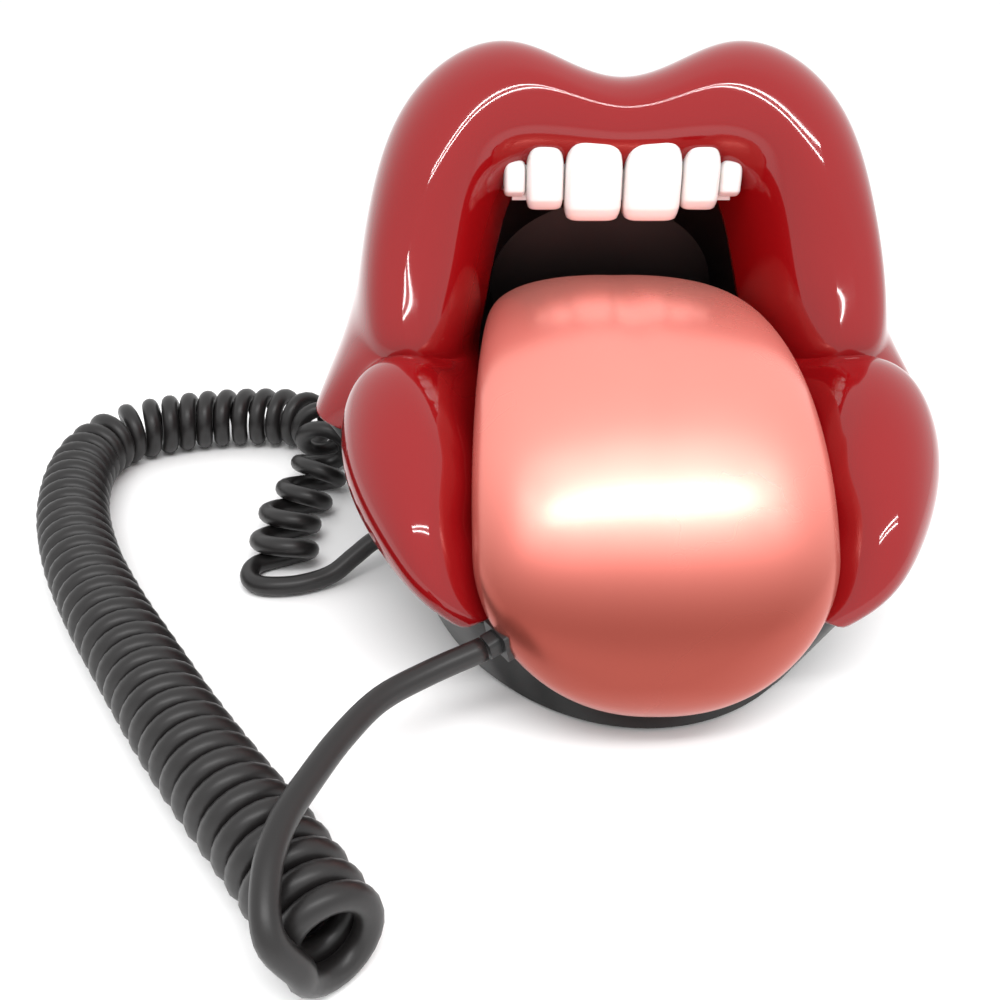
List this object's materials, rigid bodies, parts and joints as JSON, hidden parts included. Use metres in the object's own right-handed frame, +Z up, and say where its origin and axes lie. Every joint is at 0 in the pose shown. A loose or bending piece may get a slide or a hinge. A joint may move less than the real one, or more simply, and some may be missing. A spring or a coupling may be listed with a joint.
{
  "type": "novelty telephone",
  "caption": "Corded desk telephone shaped as an open mouth: glossy lips on a black base, with a tongue-shaped handset that lifts out, keys on its underside and a curly cord",
  "frame": {"origin": "on the desk, under the middle of the telephone's box without its free cord", "axes": "+X to the viewer's right, +Y to the back, +Z up"},
  "size_m": [0.2348, 0.2216, 0.1187],
  "materials": {
    "red_gloss": "glossy moulded shell",
    "pearl_pink": "satin pearl lacquer",
    "black_plastic": "fine texture",
    "tooth_white": "glossy",
    "key_white": "satin",
    "bright_steel": "zinc plated",
    "soft_rubber": "matte",
    "circuit_board": "laminate",
    "clear_plastic": "clear moulded",
    "cord_black": "satin flexible sheath"
  },
  "bodies": {
    "base": {"lip_shell": "red_gloss", "base_tray": "black_plastic", "mouth_liner": "black_plastic", "ringer_switch": "black_plastic", "hook_switch": "black_plastic", "ringer": "black_plastic", "teeth_strip": "tooth_white", "base_screw_1": "bright_steel", "base_screw_2": "bright_steel", "base_screw_3": "bright_steel", "base_screw_4": "bright_steel", "hook_spring": "bright_steel", "ballast_weight": "bright_steel", "rubber_foot_1": "soft_rubber", "rubber_foot_2": "soft_rubber", "rubber_foot_3": "soft_rubber", "rubber_foot_4": "soft_rubber", "main_board": "circuit_board", "handset_jack": "clear_plastic", "line_jack": "clear_plastic", "base_plug": "clear_plastic", "cord_coil": "cord_black", "cord_lead_base": "cord_black"},
    "handset": {"handset_top_shell": "pearl_pink", "handset_bottom_shell": "pearl_pink", "keypad_mat": "soft_rubber", "handset_board": "circuit_board", "earpiece_speaker": "black_plastic", "microphone": "black_plastic", "handset_screw_1": "bright_steel", "handset_screw_2": "bright_steel", "handset_plug": "black_plastic", "cord_lead_handset": "cord_black"},
    "hook": {"hook_plunger": "black_plastic"},
    "ringer_knob": {"ringer_switch_knob": "key_white"},
    "key_1": {"key_1": "key_white"},
    "key_2": {"key_2": "key_white"},
    "key_3": {"key_3": "key_white"},
    "key_4": {"key_4": "key_white"},
    "key_5": {"key_5": "key_white"},
    "key_6": {"key_6": "key_white"},
    "key_7": {"key_7": "key_white"},
    "key_8": {"key_8": "key_white"},
    "key_9": {"key_9": "key_white"},
    "key_star": {"key_star": "key_white"},
    "key_0": {"key_0": "key_white"},
    "key_hash": {"key_hash": "key_white"},
    "key_redial": {"key_redial": "key_white"},
    "key_flash": {"key_flash": "key_white"}
  },
  "joints": [
    {"name": "handset_lift", "type": "slide", "parent": "base", "child": "handset", "axis": [0, -0.9063, 0.4226], "range_m": [0, 0.12]},
    {"name": "hook_travel", "type": "slide", "parent": "base", "child": "hook", "axis": [0, 0, 1], "range_m": [0, 0.004], "deforming": ["hook_spring"]},
    {"name": "ringer_slide", "type": "slide", "parent": "base", "child": "ringer_knob", "axis": [1, 0, 0], "range_m": [0, 0.003]},
    {"name": "key_1_press", "type": "slide", "parent": "handset", "child": "key_1", "axis": [0, 0.0512, 0.9987], "range_m": [0, 0.001], "stiffness_N_per_m": 300},
    {"name": "key_2_press", "type": "slide", "parent": "handset", "child": "key_2", "axis": [0, 0.0512, 0.9987], "range_m": [0, 0.001], "stiffness_N_per_m": 300},
    {"name": "key_3_press", "type": "slide", "parent": "handset", "child": "key_3", "axis": [0, 0.0512, 0.9987], "range_m": [0, 0.001], "stiffness_N_per_m": 300},
    {"name": "key_4_press", "type": "slide", "parent": "handset", "child": "key_4", "axis": [0, -0.0596, 0.9982], "range_m": [0, 0.001], "stiffness_N_per_m": 300},
    {"name": "key_5_press", "type": "slide", "parent": "handset", "child": "key_5", "axis": [0, -0.0596, 0.9982], "range_m": [0, 0.001], "stiffness_N_per_m": 300},
    {"name": "key_6_press", "type": "slide", "parent": "handset", "child": "key_6", "axis": [0, -0.0596, 0.9982], "range_m": [0, 0.001], "stiffness_N_per_m": 300},
    {"name": "key_7_press", "type": "slide", "parent": "handset", "child": "key_7", "axis": [0, -0.1891, 0.982], "range_m": [0, 0.001], "stiffness_N_per_m": 300},
    {"name": "key_8_press", "type": "slide", "parent": "handset", "child": "key_8", "axis": [0, -0.1891, 0.982], "range_m": [0, 0.001], "stiffness_N_per_m": 300},
    {"name": "key_9_press", "type": "slide", "parent": "handset", "child": "key_9", "axis": [0, -0.1891, 0.982], "range_m": [0, 0.001], "stiffness_N_per_m": 300},
    {"name": "key_star_press", "type": "slide", "parent": "handset", "child": "key_star", "axis": [0, -0.3299, 0.944], "range_m": [0, 0.001], "stiffness_N_per_m": 300},
    {"name": "key_0_press", "type": "slide", "parent": "handset", "child": "key_0", "axis": [0, -0.3299, 0.944], "range_m": [0, 0.001], "stiffness_N_per_m": 300},
    {"name": "key_hash_press", "type": "slide", "parent": "handset", "child": "key_hash", "axis": [0, -0.3299, 0.944], "range_m": [0, 0.001], "stiffness_N_per_m": 300},
    {"name": "key_redial_press", "type": "slide", "parent": "handset", "child": "key_redial", "axis": [0, -0.4749, 0.88], "range_m": [0, 0.001], "stiffness_N_per_m": 300},
    {"name": "key_flash_press", "type": "slide", "parent": "handset", "child": "key_flash", "axis": [0, -0.4749, 0.88], "range_m": [0, 0.001], "stiffness_N_per_m": 300}
  ],
  "couplings": [
    {"joint": "hook_travel", "follows": "handset_lift", "ratio": 0.033333}
  ]
}
